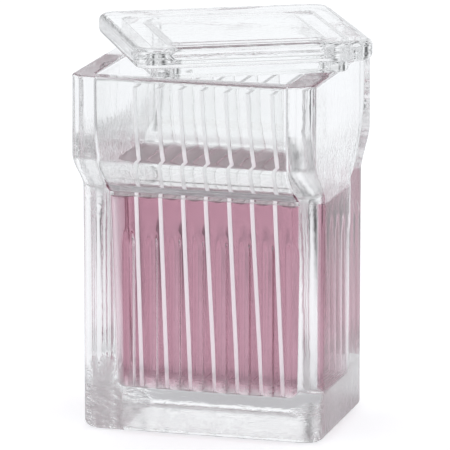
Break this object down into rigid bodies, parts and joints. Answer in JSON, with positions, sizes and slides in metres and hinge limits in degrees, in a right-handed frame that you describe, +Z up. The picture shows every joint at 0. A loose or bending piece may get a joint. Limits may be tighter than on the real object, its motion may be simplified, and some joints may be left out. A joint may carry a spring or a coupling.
{
  "type": "slide staining jar",
  "caption": "Rectangular glass jar with grooved walls that hold microscope slides upright in stain, with a wide collar and a loose ridged lid lying askew on its rim.",
  "frame": {"origin": "centre of the jar's flat underside", "axes": "+Z up out of the jar's mouth, -Y the broad front wall, +X the right-hand side wall; the slides' faces look along X"},
  "size_m": [0.0746, 0.0726, 0.1004],
  "materials": {
    "jar_glass": "clear pressed soda-lime glass, fire-polished",
    "lid_glass": "clear pressed soda-lime glass",
    "slide_glass": "clear float glass with ground edges",
    "stain": "clear dusky pink liquid"
  },
  "bodies": {
    "root": {"jar": "jar_glass", "lid": "lid_glass", "slide_1": "slide_glass", "slide_2": "slide_glass", "slide_3": "slide_glass", "slide_4": "slide_glass", "slide_5": "slide_glass", "slide_6": "slide_glass", "slide_7": "slide_glass", "stain": "stain"}
  },
  "joints": []
}
